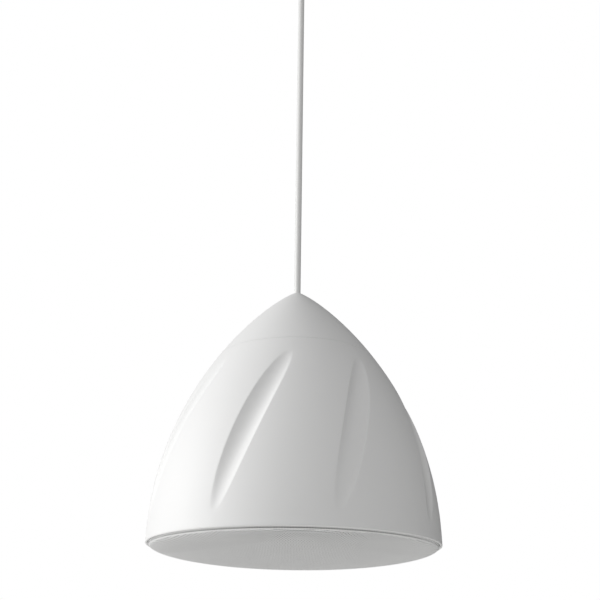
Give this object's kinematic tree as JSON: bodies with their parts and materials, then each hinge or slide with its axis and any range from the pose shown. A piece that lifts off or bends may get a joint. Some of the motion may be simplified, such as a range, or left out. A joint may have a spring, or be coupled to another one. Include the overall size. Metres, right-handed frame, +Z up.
{
  "type": "pendant speaker",
  "caption": "Bell-shaped pendant loudspeaker with slanting scoops, a lift-up crown, a domed perforated grille and a coaxial driver, hung on one round cable from a ceiling canopy.",
  "frame": {"origin": "the middle of the ceiling bracket's upper face, on the cable's line, where the fitting meets the ceiling", "axes": "+Z up along the cable, +X along the bracket's two slots, the viewer of the picture stands towards -Y"},
  "size_m": [0.316, 0.3158, 0.7866],
  "materials": {
    "shell": "smooth satin white moulding",
    "grille": "white powder coat on perforated steel",
    "cable": "satin white sheath",
    "zinc": "zinc plated",
    "black_plastic": "matt black moulding",
    "brass": "turned",
    "lead": "soft wire covering",
    "rubber": "matt",
    "baffle": "matt black moulding",
    "foam": "closed-cell foam",
    "black_steel": "black coating",
    "nickel": "nickel plated",
    "cone": "coated pulp",
    "copper": "enamelled copper wire",
    "spider": "resin-stiffened cloth",
    "ferrite": "ground ferrite",
    "aluminium": "turned",
    "dome": "coated silk",
    "lamination": "stacked steel sheet",
    "winding": "taped winding",
    "board": "lacquered board",
    "capacitor": "film sleeve",
    "ceramic": "cement body",
    "wadding": "loose polyester wadding"
  },
  "bodies": {
    "enclosure": {"body_shell": "shell", "grille": "grille", "grille_ring": "grille", "pendant_cable": "cable", "ceiling_canopy": "shell", "ceiling_grip": "shell", "grip_nut": "shell", "ceiling_bracket": "zinc", "canopy_screws": "zinc", "hanger_yoke": "zinc", "hanger_screws": "zinc", "cable_gland": "black_plastic", "gland_nut": "black_plastic", "terminal_block": "black_plastic", "terminal_screws": "brass", "lead_pair": "lead", "deck_grommet": "rubber", "baffle": "baffle", "baffle_gasket": "foam", "baffle_screws": "black_steel", "port_tube": "black_plastic", "grille_magnets": "nickel", "driver_basket": "black_steel", "driver_gasket": "foam", "driver_screws": "black_steel", "surround": "rubber", "spider": "spider", "top_plate": "zinc", "ferrite_ring": "ferrite", "pole_plate": "zinc", "tweeter_post": "aluminium", "tweeter_cup": "black_plastic", "tweeter_dome": "dome", "tweeter_magnet": "nickel", "tweeter_guide": "black_plastic", "transformer_core": "lamination", "transformer_winding": "winding", "transformer_strap": "zinc", "crossover_board": "board", "crossover_coil": "copper", "crossover_capacitors": "capacitor", "crossover_resistor": "ceramic", "board_standoffs": "black_plastic", "tap_switch": "black_plastic", "switch_nut": "nickel", "damping_pad": "wadding"},
    "moving_cone": {"cone": "cone", "voice_coil": "copper"},
    "crown": {"top_cap": "shell"},
    "knob": {"tap_knob": "black_plastic"}
  },
  "joints": [
    {"name": "cone_travel", "type": "slide", "parent": "enclosure", "child": "moving_cone", "axis": [0, 0, 1], "range_m": [-0.004, 0.004], "stiffness_N_per_m": 2000, "deforming": ["surround", "spider"]},
    {"name": "cap_lift", "type": "slide", "parent": "enclosure", "child": "crown", "axis": [0, 0, 1], "range_m": [0, 0.08]},
    {"name": "tap_turn", "type": "hinge", "parent": "enclosure", "child": "knob", "pos_m": [0.10182, 0.04748, -0.76856], "axis": [0, 0, 1], "range_deg": [-75, 75]}
  ]
}
